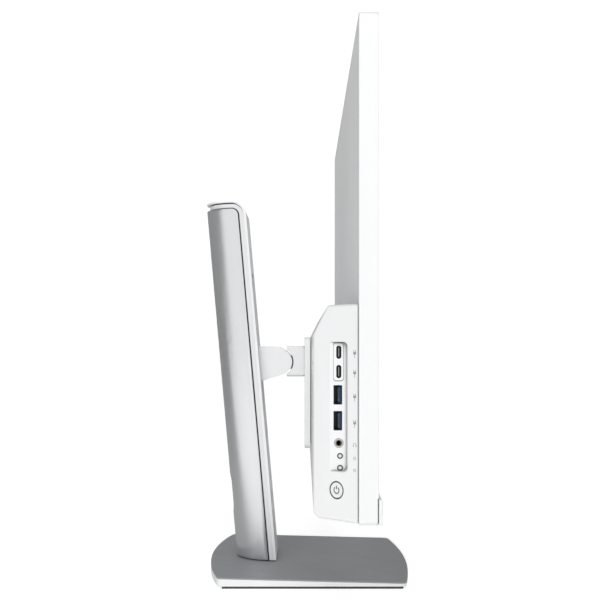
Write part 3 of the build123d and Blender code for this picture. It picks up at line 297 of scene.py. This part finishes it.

# Painted shade in seams, inner corners and on undersides; near black in the hinge, as its painted slit shadow.
paint_crease_shade(MATERIALS["white_shell"], 0.0022, 0.9, (0.24, 0.24, 0.25))
paint_crease_shade(MATERIALS["recess_shell_painted_shade"], 0.0030, 0.95, span=(0.35, 0.85))
paint_crease_shade(MATERIALS["hinge_shell_painted_shade"], 0.0030, 0.98, (0.01, 0.01, 0.01))
paint_crease_shade(MATERIALS["column_band"], 0.0016, 0.6)


# ---- CAD nodes: materials and softened edges ----
EDGES_MM = {
    "screen_frame": 0.5,
    "front_bezel": 0.2,
    "speaker_bar": 0.25,
    "module_housing": 0.35,
    "module_end_cap": 0.25,
    "module_port_strip": 0.2,
    "rear_cover": 0.25,
    "mount_plate": 0.35,
    "pivot_block": 0.6,
    "arm_cover": 0.5,
    "column_front_cover": 0.45,
    "column_band": 0.35,
    "column_shell": 0.45,
    "base_top_cover": 0.3,
    "base_tray": 0.4,
    "base_feet": 0.4,
    "power_button": 0.35,
    "power_button_ring": 0.12,
    "release_latch": 0.25,
    "camera_shutter": 0.12,
    "audio_jack": 0.2,
    "indicator_lenses": 0.25,
    "usb_shells": 0.08,
    "usb_a_tongues": 0.15,
    "usb_c_tongues": 0.1,
    "head_screws": 0.15,
    "column_screws": 0.15,
    "blower_housing": 0.3,
    "storage_drive": 0.4,
}


WELD_REACH = 0.002 * MM
SHARP_ANGLE = 38


def soften(part, width):
    """Rounds a part's sharp edges without touching its own mesh."""
    weld = part.modifiers.new("weld", "WELD")
    weld.merge_threshold = WELD_REACH
    edge = part.modifiers.new("soft_edges", "BEVEL")
    edge.width = width * MM
    edge.segments = 2
    edge.limit_method = "ANGLE"
    edge.angle_limit = math.radians(SHARP_ANGLE)
    edge.use_clamp_overlap = True
    edge.harden_normals = True


OWN_MATERIAL = {
    "usb_shells": "socket_steel",
    "usb_c_tongues": "line_grey",
    # The end cap, pivot block and arm cover take shaded copies of the white shell: painted shade.
    "module_end_cap": "recess_shell_painted_shade",
    "pivot_block": "hinge_shell_painted_shade",
    "arm_cover": "hinge_shell_painted_shade",
}


def dress_cad_nodes():
    """Gives each CAD node its material and soft edges."""
    for row in frame["record"]["subparts"]:
        part = frame["nodes"][row["node"]]
        material = OWN_MATERIAL.get(row["node"], row["material_slot"])
        part.data.materials.clear()
        part.data.materials.append(MATERIALS[material])
        if row["node"] in EDGES_MM:
            soften(part, EDGES_MM[row["node"]])


# ---- Small pieces built here ----
def add_piece(name, mesh, body, material):
    """A finished mesh as a piece that rides on a body."""
    piece = bpy.data.objects.new(name, mesh)
    bpy.context.scene.collection.objects.link(piece)
    mesh.materials.append(MATERIALS[material])
    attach(piece, body)
    return piece


def prisms(name, outlines, origin, u, v, depth, rounding=0.0):
    """Closed outlines in the plane of u and v, each carried back from its front by depth."""
    build = bmesh.new()
    u, v = Vector(u).normalized(), Vector(v).normalized()
    back = u.cross(v) * -depth
    for outline in outlines:
        front = [build.verts.new(origin + u * a + v * b) for a, b in outline]
        rear = [build.verts.new(vertex.co + back) for vertex in front]
        build.faces.new(front)
        build.faces.new(rear[::-1])
        count = len(front)
        for step in range(count):
            follow = (step + 1) % count
            build.faces.new([front[follow], front[step], rear[step], rear[follow]])
    if rounding:
        rims = [edge for edge in build.edges if edge.calc_face_angle(0) > 0.6]
        bmesh.ops.bevel(build, geom=rims, offset=rounding, segments=2, affect="EDGES")
    bmesh.ops.recalc_face_normals(build, faces=build.faces[:])
    mesh = bpy.data.meshes.new(name)
    build.to_mesh(mesh)
    build.free()
    return mesh


def box_outline(a, b, width, height):
    """Corners of an upright rectangle about a point."""
    w, h = width / 2, height / 2
    return [(a - w, b - h), (a + w, b - h), (a + w, b + h), (a - w, b + h)]


def arc_outline(radius, width, start, end, steps, centre=(0.0, 0.0)):
    """Outline of a bent bar between two angles in degrees."""
    angles = [math.radians(start + (end - start) * k / steps) for k in range(steps + 1)]
    outer = [(radius + width / 2, angle) for angle in angles]
    inner = [(radius - width / 2, angle) for angle in reversed(angles)]
    return [
        (centre[0] + reach * math.cos(angle), centre[1] + reach * math.sin(angle))
        for reach, angle in outer + inner
    ]


def disc_outline(a, b, radius, steps=12):
    """Corners of a small round dot."""
    turn = 2 * math.pi / steps
    return [
        (a + radius * math.cos(k * turn), b + radius * math.sin(k * turn)) for k in range(steps)
    ]


def end_face():
    """The power button's front centre, and the slanted face's outward and inward-lying axes."""
    press = next(j for j in frame["joints"] if j["name"] == "power_press")
    inward = Vector(press["axis"]).normalized()
    low, high = (Vector(corner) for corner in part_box("power_button"))
    radius = (high.z - low.z) / 2
    middle = Vector((low.x - radius * inward.y, high.y - radius * inward.x, (low.z + high.z) / 2))
    sideways = Z.cross(-inward).normalized()
    return middle, -inward, sideways, radius


def power_symbol():
    """Open ring and bar printed on the power button."""
    middle, outward, sideways, radius = end_face()
    stroke = 0.75 * MM
    ring = arc_outline(radius * 0.42, stroke, 125, 415, 28)
    bar = box_outline(0, radius * 0.36, stroke, radius * 0.46)
    mesh = prisms("power_symbol", [ring, bar], middle + outward * 0.04 * MM, sideways, Z, 0.05 * MM)
    add_piece("power_symbol", mesh, "power_button", "print_grey")


def socket_mark(b):
    """Generic plug mark: a barrel with two prongs above and a lead below."""
    stroke = 0.42 * MM
    barrel = box_outline(0, b - 0.6 * MM, 2.3 * MM, 1.6 * MM)
    prongs = [
        box_outline(side * 0.75 * MM, b + 0.85 * MM, stroke, 1.3 * MM) for side in (-1, 1)
    ]
    lead = box_outline(0, b - 2.5 * MM, stroke, 2.2 * MM)
    return [barrel, *prongs, lead]


def headset_mark(b):
    """Generic headphones mark."""
    reach = 1.2 * MM
    hoop = arc_outline(reach, 0.36 * MM, 0, 180, 12, (0.0, b))
    cups = [box_outline(side * reach, b - 0.6 * MM, 0.7 * MM, 1.2 * MM) for side in (-1, 1)]
    return [hoop, *cups]


def mount_places(*starts):
    """Positions of the mounts whose names start as given."""
    return [
        Vector(row["pos_m"]) for row in frame["record"]["mounts"] if row["name"].startswith(starts)
    ]


def indicator_heights():
    """Heights of the two indicator lenses."""
    low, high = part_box("indicator_lenses")
    radius = (high[1] - low[1]) / 2
    return low[2] + radius, high[2] - radius


def port_marks():
    """Small printed marks on the slanted face, one beside each socket."""
    middle, outward, sideways, _ = end_face()
    outlines = []
    for place in mount_places("usb_c", "usb_a"):
        outlines += socket_mark(place.z - middle.z)
    outlines += headset_mark(mount_places("headset_socket")[0].z - middle.z)
    for z in indicator_heights():
        outlines.append(arc_outline(0.9 * MM, 0.34 * MM, 0, 350, 18, (0.0, z - middle.z)))
    behind_cover = 2.6 * MM
    reach = (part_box("rear_cover")[1][1] + behind_cover - middle.y) / sideways.y
    origin = middle + sideways * reach + outward * 0.03 * MM
    mesh = prisms("port_marks", outlines, origin, sideways, Z, 0.04 * MM)
    add_piece("port_marks", mesh, "head", "line_grey")


def recess_floor(y, z, lift):
    """A point just in front of the port recess's floor, found from the indicator lenses."""
    return Vector((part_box("indicator_lenses")[0][0] - lift, y, z))


def rounded_outline(a, b, width, height, radius):
    """Closed outline of a rounded rectangle about a point."""
    corners = [(1, 1, 0), (-1, 1, 90), (-1, -1, 180), (1, -1, 270)]
    points = []
    for along, up, start in corners:
        for step in range(5):
            angle = math.radians(start + 22.5 * step)
            points.append((
                a + along * (width / 2 - radius) + radius * math.cos(angle),
                b + up * (height / 2 - radius) + radius * math.sin(angle),
            ))
    return points


def band_outline(points, centre, width):
    """The outline as a closed band of a given width, split by a hairline."""
    inner = []
    for a, b in points:
        reach = math.hypot(a - centre[0], b - centre[1])
        share = 1 - width / reach
        inner.append((centre[0] + (a - centre[0]) * share, centre[1] + (b - centre[1]) * share))
    hairline = 0.002 * MM
    ends = [(a, b - hairline) for a, b in (points[0], inner[0])]
    return points + ends + inner[::-1]


def recess_rings():
    """Thin grey line round the raised border, as painted shade at its edge, and dark rims round the lenses."""
    upper, lower = mount_places("usb_c")
    middle = (upper + lower) / 2
    low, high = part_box("indicator_lenses")
    lens_y, lens_radius = (low[1] + high[1]) / 2, (high[1] - low[1]) / 2
    border = rounded_outline(0, 0, 6.9 * MM, 26.6 * MM, 1.6 * MM)
    origin = recess_floor(middle.y + 0.2 * MM, middle.z, 0.32 * MM)
    # The grey band paints the shade along the raised border's edge.
    mesh = prisms("border_line", [band_outline(border, (0, 0), 0.5 * MM)], origin, -Y, Z, 0.33 * MM)
    add_piece("border_line", mesh, "head", "line_grey")
    rims = [
        arc_outline(lens_radius - 0.35 * MM, 0.95 * MM, 0, 359.5, 32, (0, z))
        for z in indicator_heights()
    ]
    mesh = prisms("lens_rims", rims, recess_floor(lens_y, 0, 0.06 * MM), -Y, Z, 0.06 * MM)
    add_piece("lens_rims", mesh, "head", "print_grey")


def usb_contacts():
    """Gold contacts on the tongues of the flat sockets."""
    low, high = (Vector(corner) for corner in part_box("usb_a_tongues"))
    outlines = [
        box_outline(low.x + 4.6 * MM, place.z + (step - 1.5) * 2.4 * MM, 7.0 * MM, 1.1 * MM)
        for place in mount_places("usb_a")
        for step in range(4)
    ]
    origin = Vector((0, high.y, 0))
    mesh = prisms("usb_contacts", outlines, origin, X, Z, 0.12 * MM)
    add_piece("usb_contacts", mesh, "head", "gold")


def jack_rings():
    """Bright contact ring just inside the headset socket, and the collar round its mouth."""
    place = mount_places("headset_socket")[0]
    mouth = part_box("audio_jack")[0][0]
    ring = arc_outline(1.72 * MM, 0.14 * MM, 0, 359.0, 36)
    inside = Vector((mouth + 1.2 * MM, place.y, place.z))
    mesh = prisms("jack_contact_ring", [ring], inside, -Y, Z, 1.6 * MM)
    add_piece("jack_contact_ring", mesh, "head", "gold")
    collar = arc_outline(2.65 * MM, 0.75 * MM, 0, 359.5, 36)
    outside = Vector((mouth - 0.1 * MM, place.y, place.z))
    mesh = prisms("jack_collar", [collar], outside, -Y, Z, 0.12 * MM)
    add_piece("jack_collar", mesh, "head", "steel")


def network_contacts():
    """Eight sprung wires in the network socket and its two lamps."""
    low, high = (Vector(corner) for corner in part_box("ethernet_jack"))
    centre_x = (low.x + high.x) / 2
    outlines = [box_outline((k - 3.5) * 1.02 * MM, 0, 0.4 * MM, 0.35 * MM) for k in range(8)]
    origin = Vector((centre_x, high.y - 3.2 * MM, low.z + 2.0 * MM))
    mesh = prisms("network_contacts", outlines, origin, X, -Y, 9.0 * MM)
    add_piece("network_contacts", mesh, "head", "gold")
    for name, side in (("amber_lens", -1), ("green_lens", 1)):
        corner = Vector((centre_x + side * 5.6 * MM, low.y + 1.6 * MM, low.z - 0.02 * MM))
        lamp = prisms(f"network_{name}", [box_outline(0, 0, 2.6 * MM, 1.6 * MM)], corner,
                      X, -Y, 0.4 * MM, 0.1 * MM)
        add_piece(f"network_{name}", lamp, "head", name)


def speaker_grille():
    """Rows of small near-black discs on the front of the speaker bar, over each driver: painted shade in place of
    grille holes.
    """
    low, high = (Vector(corner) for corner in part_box("speaker_bar"))
    driver_high = Vector(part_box("speaker_drivers")[1])
    middle_z = (low.z + high.z) / 2
    pitch = 2.2 * MM
    outlines = []
    for side in (-1, 1):
        for column in range(41):
            for row in range(-2, 3):
                a = side * (driver_high.x - 2 * MM - column * pitch)
                shift = pitch / 2 if column % 2 else 0.0
                outlines.append(disc_outline(a, row * pitch + shift - pitch / 4, 0.55 * MM, 8))
    origin = Vector((0, low.y - 0.015 * MM, middle_z))
    mesh = prisms("speaker_grille_holes", outlines, origin, X, Z, 0.03 * MM)
    add_piece("speaker_grille_holes", mesh, "head", "painted_hole_shade")


CAD_WIRE, WIRE = 0.22 * MM, 0.2 * MM
COIL_TURNS, COIL_STEPS, WIRE_SIDES = 4.5, 108, 8


def latch_coils():
    """The latch's two coil springs, drawn at rest in place of the CAD springs."""
    low, high = (Vector(corner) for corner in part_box("latch_springs"))
    coil = (high.y - low.y) / 2 - CAD_WIRE
    middle_y, bottom, top = (low.y + high.y) / 2, low.z + WIRE, high.z - WIRE
    mesh = bpy.data.meshes.new("latch_coils")
    build = bmesh.new()
    for middle_x in (low.x + coil + WIRE, high.x - coil - WIRE):
        rings = []
        for step in range(COIL_STEPS + 1):
            angle = math.tau * COIL_TURNS * step / COIL_STEPS
            out = Vector((math.cos(angle), math.sin(angle), 0))
            centre = Vector((middle_x, middle_y, bottom + (top - bottom) * step / COIL_STEPS))
            rings.append([
                build.verts.new(
                    centre + out * (coil + WIRE * math.cos(around)) + Z * WIRE * math.sin(around)
                )
                for around in (math.tau * side / WIRE_SIDES for side in range(WIRE_SIDES))
            ])
        for first, second in zip(rings, rings[1:]):
            for side in range(WIRE_SIDES):
                follow = (side + 1) % WIRE_SIDES
                build.faces.new((first[side], first[follow], second[follow], second[side]))
        build.faces.new(rings[0][::-1])
        build.faces.new(rings[-1])
    bmesh.ops.recalc_face_normals(build, faces=build.faces)
    for face in build.faces:
        face.smooth = True
    build.to_mesh(mesh)
    build.free()
    piece = add_piece("latch_coils", mesh, "head", "steel")
    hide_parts("latch_springs")
    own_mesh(piece)


def camera_height():
    """Height of the webcam's optical axis: the middle of its shutter."""
    low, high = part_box("camera_shutter")
    return (low[2] + high[2]) / 2


def webcam_details():
    """Lens dome, the activity lamp and two microphone holes drawn as near-black discs of painted shade."""
    dome_radius, dome_flatness, sunk = 1.5 * MM, 0.07, 0.06 * MM
    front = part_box("webcam_module")[0][1] + sunk
    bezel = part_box("front_bezel")[0][1]
    lens = bpy.data.meshes.new("webcam_lens")
    build = bmesh.new()
    bmesh.ops.create_uvsphere(build, u_segments=24, v_segments=12, radius=dome_radius)
    place = Matrix.Translation((0, front, camera_height()))
    squash = place @ Matrix.Diagonal((1, dome_flatness, 1, 1))
    bmesh.ops.transform(build, matrix=squash, verts=build.verts)
    for face in build.faces:
        face.smooth = True
    build.to_mesh(lens)
    build.free()
    add_piece("webcam_lens", lens, "head", "lens_glass")
    origin = Vector((0, bezel - 0.01 * MM, camera_height()))
    holes = [disc_outline(side * 32 * MM, 0, 0.45 * MM, 14) for side in (-1, 1)]
    mesh = prisms("microphone_holes", holes, origin, X, Z, 0.02 * MM)
    add_piece("microphone_holes", mesh, "head", "painted_hole_shade")
    lamp = prisms("webcam_lamp", [disc_outline(-9 * MM, 0, 0.5 * MM, 14)], origin, X, Z, 0.02 * MM)
    add_piece("webcam_lamp", lamp, "head", "lens_grey")


# ---- Floor, lights and camera ----
FLOOR_REACH, SWEEP_RADIUS, SWEEP_STEPS, WALL_TOP = 3.0, 0.8, 12, 3.2
FLOOR_GLOW = 0.50
FLOOR_MIRRORED = (0.42, -0.25)


def stage():
    """Pale floor that curves up far behind the object.

    Where it is mirrored, its glow fades under the object and ends below zero, which takes light
    away. That is a stand-in for the dark surroundings of the studio.
    """
    build = bmesh.new()
    sweep_start = FLOOR_REACH - SWEEP_RADIUS
    profile = [(-FLOOR_REACH, 0.0), (sweep_start, 0.0)]
    for step in range(1, SWEEP_STEPS + 1):
        angle = math.radians(90 * step / SWEEP_STEPS)
        profile.append((
            sweep_start + SWEEP_RADIUS * math.sin(angle),
            SWEEP_RADIUS - SWEEP_RADIUS * math.cos(angle),
        ))
    profile.append((FLOOR_REACH, WALL_TOP))
    rows = [
        [build.verts.new((x, y, z)) for y in (-FLOOR_REACH, FLOOR_REACH)] for x, z in profile
    ]
    for near, far in zip(rows, rows[1:]):
        build.faces.new([near[0], near[1], far[1], far[0]])
    mesh = bpy.data.meshes.new("studio_floor")
    build.to_mesh(mesh)
    build.free()
    for polygon in mesh.polygons:
        polygon.use_smooth = True
    material, graph, shader = new_material("studio_floor")
    tone = remap(graph, noise(graph, position(graph), 3.0), 0.0, 1.0)
    link(graph, two_tone(graph, tone, (0.86, 0.86, 0.86), (0.88, 0.88, 0.88)),
         shader.inputs["Base Color"])
    shader.inputs["Roughness"].default_value = 0.9
    spread = graph.nodes.new("ShaderNodeSeparateXYZ")
    link(graph, position(graph), spread.inputs["Vector"])
    glow = graph.nodes.new("ShaderNodeMix")
    rays = graph.nodes.new("ShaderNodeLightPath")
    link(graph, rays.outputs["Is Glossy Ray"], glow.inputs["Factor"])
    glow.inputs["A"].default_value = FLOOR_GLOW
    mirrored = remap(graph, spread.outputs["X"], *FLOOR_MIRRORED, (-0.25, -0.05))
    link(graph, mirrored, glow.inputs["B"])
    shader.inputs["Emission Color"].default_value = (1, 1, 1, 1)
    link(graph, glow.outputs["Result"], shader.inputs["Emission Strength"])
    mesh.materials.append(material)
    floor = bpy.data.objects.new("studio_floor", mesh)
    bpy.context.scene.collection.objects.link(floor)


MIRRORED = (0.95, 0.26)
SOFT = (0.46, 0.16)
KEY_WATTS, FILL_WATTS, TOP_WATTS = 17, 2, 6


def chosen(graph, factor, first, second):
    """The second value where the factor is one, the first elsewhere; no second means 1."""
    node = graph.nodes.new("ShaderNodeMix")
    link(graph, factor, node.inputs["Factor"])
    link(graph, first, node.inputs["A"])
    if second is None:
        node.inputs["B"].default_value = 1.0
    else:
        link(graph, second, node.inputs["B"])
    return node.outputs["Result"]


def area_light(name, place, target, size, power):
    """A soft rectangular light aimed at a point."""
    data = bpy.data.lights.new(name, "AREA")
    data.shape = "RECTANGLE"
    data.size, data.size_y = size
    data.energy = power
    lamp = bpy.data.objects.new(name, data)
    lamp.location = place
    lamp.rotation_euler = (Vector(target) - Vector(place)).to_track_quat("-Z", "Y").to_euler()
    bpy.context.scene.collection.objects.link(lamp)
    return lamp


def lights():
    """Soft light with one key.

    The surroundings show white. They light the object less from its front and back than from
    its ends, and mirrored they are bright only on the viewer's side.
    """
    world = bpy.context.scene.world or bpy.data.worlds.new("studio")
    bpy.context.scene.world = world
    world.use_nodes = True
    graph = world.node_tree
    around = graph.nodes.new("ShaderNodeTexCoord")
    split = graph.nodes.new("ShaderNodeSeparateXYZ")
    link(graph, around.outputs["Generated"], split.inputs["Vector"])
    mirrored = remap(graph, split.outputs["X"], *MIRRORED, (-0.55, -0.25))
    aside = graph.nodes.new("ShaderNodeMath")
    aside.operation = "ABSOLUTE"
    link(graph, split.outputs["Y"], aside.inputs[0])
    soft = remap(graph, aside.outputs["Value"], *SOFT, (0.25, 0.9))
    rays = graph.nodes.new("ShaderNodeLightPath")
    lit = chosen(graph, rays.outputs["Is Glossy Ray"], soft, mirrored)
    seen = chosen(graph, rays.outputs["Is Camera Ray"], lit, None)
    link(graph, seen, graph.nodes["Background"].inputs["Strength"])
    graph.nodes["Background"].inputs["Color"].default_value = (1, 1, 1, 1)
    key = area_light("key", (-1.8, 0.35, 1.25), (0, 0, 0.25), (1.6, 1.2), KEY_WATTS)
    key.visible_glossy = False
    area_light("front_fill", (-0.8, -2.6, 1.0), (0, 0, 0.25), (1.6, 1.6), FILL_WATTS)
    area_light("top", (0.0, -0.4, 2.4), (0, 0, 0.2), (1.6, 1.6), TOP_WATTS)


EYE = (-0.943, 0.00175, 0.2052)


def camera():
    """Level view of the -X end, with the picture's middle raised by a small shift."""
    data = bpy.data.cameras.new("camera")
    data.sensor_width = 36.0
    data.lens = 60.24
    data.shift_x = -0.0067
    data.shift_y = 0.075
    data.clip_start = 0.01
    eye = bpy.data.objects.new("camera", data)
    eye.location = EYE
    eye.rotation_euler = (math.radians(90), 0, math.radians(-90))
    bpy.context.scene.collection.objects.link(eye)
    bpy.context.scene.camera = eye
    bpy.context.scene.view_settings.view_transform = "Standard"


dress_cad_nodes()
power_symbol()
port_marks()
recess_rings()
usb_contacts()
jack_rings()
network_contacts()
speaker_grille()
webcam_details()
latch_coils()
stage()
lights()
camera()
